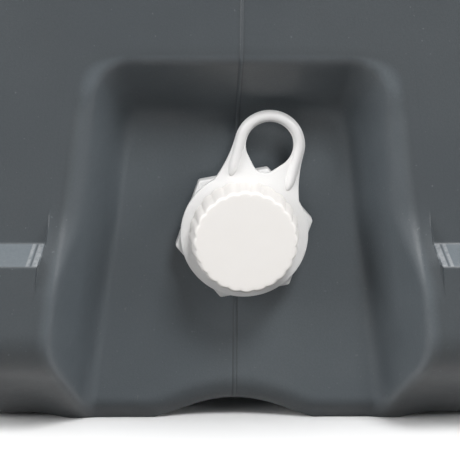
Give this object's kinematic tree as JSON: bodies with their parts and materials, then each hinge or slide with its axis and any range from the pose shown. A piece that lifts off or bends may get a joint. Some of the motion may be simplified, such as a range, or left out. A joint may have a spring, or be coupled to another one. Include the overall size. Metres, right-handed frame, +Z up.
{
  "type": "portable camp toilet",
  "caption": "Portable camp toilet: lower waste tank with a capped drain in a rear niche and slide valve, latched flush tank with bowl, hinged seat and lid, piston pump.",
  "frame": {"origin": "on the floor under the middle of the tanks", "axes": "+Z up, +Y to the front, so the drain niche faces -Y"},
  "size_m": [0.3718, 0.42, 0.4309],
  "materials": {
    "tank_plastic": "fine-grained blow-moulded",
    "white_plastic": "satin moulded",
    "rubber": "matt",
    "steel": "plain"
  },
  "bodies": {
    "waste_tank": {"waste_tank": "tank_plastic", "outlet_fitting": "white_plastic", "outlet_gasket": "rubber", "outlet_nut": "white_plastic", "valve_base": "white_plastic", "valve_cover": "white_plastic", "valve_seal": "rubber", "valve_screws": "steel", "latch_brackets": "steel", "latch_pins": "steel"},
    "cap_ring": {"cap_ring": "white_plastic"},
    "drain_seal": {"drain_seal": "rubber"},
    "drain_cap": {"drain_cap": "white_plastic"},
    "valve_blade": {"valve_blade": "white_plastic", "valve_handle": "white_plastic"},
    "left_latch": {"left_latch": "white_plastic"},
    "right_latch": {"right_latch": "white_plastic"},
    "flush_tank": {"flush_tank": "tank_plastic", "bowl": "white_plastic", "hinge_bracket": "white_plastic", "hinge_pin": "steel", "hinge_screws": "steel", "pump_barrel": "white_plastic", "pump_collar": "white_plastic", "pump_strainer": "white_plastic", "flush_tube": "rubber", "flush_nozzle": "white_plastic", "fill_neck": "white_plastic"},
    "seat": {"seat": "white_plastic", "seat_buffers": "rubber"},
    "lid": {"lid": "tank_plastic", "lid_buffers": "rubber"},
    "pump_plunger": {"pump_rod": "steel", "pump_piston": "white_plastic", "pump_seal": "rubber", "pump_knob": "white_plastic"},
    "fill_seal": {"fill_seal": "rubber"},
    "fill_cap": {"fill_cap": "white_plastic"}
  },
  "joints": [
    {"name": "ring_turn", "type": "hinge", "parent": "waste_tank", "child": "cap_ring", "pos_m": [0.0032, -0.173, 0.0925], "axis": [0, -1, 0], "range_deg": [-35, 255]},
    {"name": "drain_cap_lift", "type": "slide", "parent": "waste_tank", "child": "drain_seal", "axis": [0, -1, 0], "range_m": [0, 0.0151]},
    {"name": "drain_cap_turn", "type": "hinge", "parent": "drain_seal", "child": "drain_cap", "pos_m": [0.0032, -0.18, 0.0925], "axis": [0, -1, 0], "range_deg": [0, 1080]},
    {"name": "valve_slide", "type": "slide", "parent": "waste_tank", "child": "valve_blade", "axis": [0, 1, 0], "range_m": [0, 0.106]},
    {"name": "left_latch_hinge", "type": "hinge", "parent": "waste_tank", "child": "left_latch", "pos_m": [-0.1792, 0, 0.2], "axis": [0, 1, 0], "range_deg": [0, 180]},
    {"name": "right_latch_hinge", "type": "hinge", "parent": "waste_tank", "child": "right_latch", "pos_m": [0.1792, 0, 0.2], "axis": [0, -1, 0], "range_deg": [0, 180]},
    {"name": "flush_tank_lift", "type": "slide", "parent": "waste_tank", "child": "flush_tank", "axis": [0, 0, 1], "range_m": [0, 0.15]},
    {"name": "seat_hinge", "type": "hinge", "parent": "flush_tank", "child": "seat", "pos_m": [0, -0.166, 0.4084], "axis": [-1, 0, 0], "range_deg": [-92, 0]},
    {"name": "lid_hinge", "type": "hinge", "parent": "seat", "child": "lid", "pos_m": [0, -0.166, 0.4084], "axis": [1, 0, 0], "range_deg": [0, 95]},
    {"name": "pump_slide", "type": "slide", "parent": "flush_tank", "child": "pump_plunger", "axis": [0, 0, 1], "range_m": [0, 0.06]},
    {"name": "fill_cap_lift", "type": "slide", "parent": "flush_tank", "child": "fill_seal", "axis": [0, 0, 1], "range_m": [0, 0.0101]},
    {"name": "fill_cap_turn", "type": "hinge", "parent": "fill_seal", "child": "fill_cap", "pos_m": [-0.112, -0.14, 0.3924], "axis": [0, 0, 1], "range_deg": [0, 900]}
  ],
  "couplings": [
    {"joint": "drain_cap_lift", "follows": "drain_cap_turn", "m_per_rad": 0.00079577},
    {"joint": "fill_cap_lift", "follows": "fill_cap_turn", "m_per_rad": 0.00063662}
  ]
}
